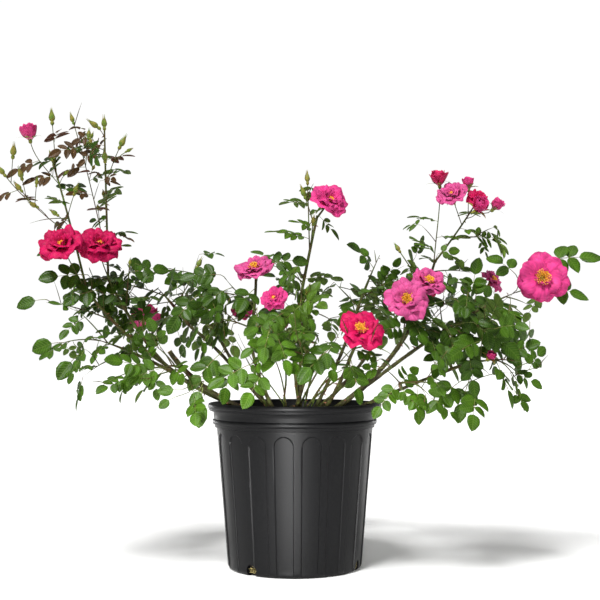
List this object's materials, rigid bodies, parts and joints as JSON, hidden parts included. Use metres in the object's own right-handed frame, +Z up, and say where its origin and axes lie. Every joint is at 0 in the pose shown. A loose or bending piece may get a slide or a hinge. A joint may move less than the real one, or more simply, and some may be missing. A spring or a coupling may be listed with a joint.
{
  "type": "rose bush in nursery pot",
  "caption": "Open, spreading rose bush with pink and crimson double blooms and buds, rooted in a round black nursery pot with arched wall panels.",
  "frame": {"origin": "centre of the pot's flat underside", "axes": "+Z up; -Y is the front, the side the longest shoots spread across; +X is to the right seen from the front"},
  "size_m": [0.7744, 0.4624, 0.6043],
  "materials": {
    "pot": "satin",
    "potting_mix": "matte",
    "bark": "matte",
    "foliage": "matte"
  },
  "bodies": {
    "root": {"pot": "pot", "soil": "potting_mix", "crown": "bark", "cane_left_lead": "bark", "cane_left_cut": "bark", "cane_left_mid": "bark", "cane_left_back": "bark", "cane_left_front": "bark", "cane_centre": "bark", "cane_back": "bark", "cane_front": "bark", "cane_right_lead": "bark", "cane_right_mid": "bark", "cane_right_far": "bark", "cane_right_low": "bark", "cane_right_back": "bark", "cane_right_front": "bark", "spray_left_inner": "foliage", "spray_left_outer": "foliage", "spray_left_low": "foliage", "spray_left_mid": "foliage", "spray_left_hang": "foliage", "spray_left_back": "foliage", "spray_left_front": "foliage", "spray_centre": "foliage", "spray_front": "foliage", "spray_right_front": "foliage", "spray_right_mid": "foliage", "spray_right_lead": "foliage", "spray_right_top": "foliage", "spray_right_far": "foliage", "spray_right_low": "foliage", "spray_right_inner": "foliage", "spray_right_rim": "foliage", "spray_right_back": "foliage", "spray_back": "foliage"}
  },
  "joints": []
}
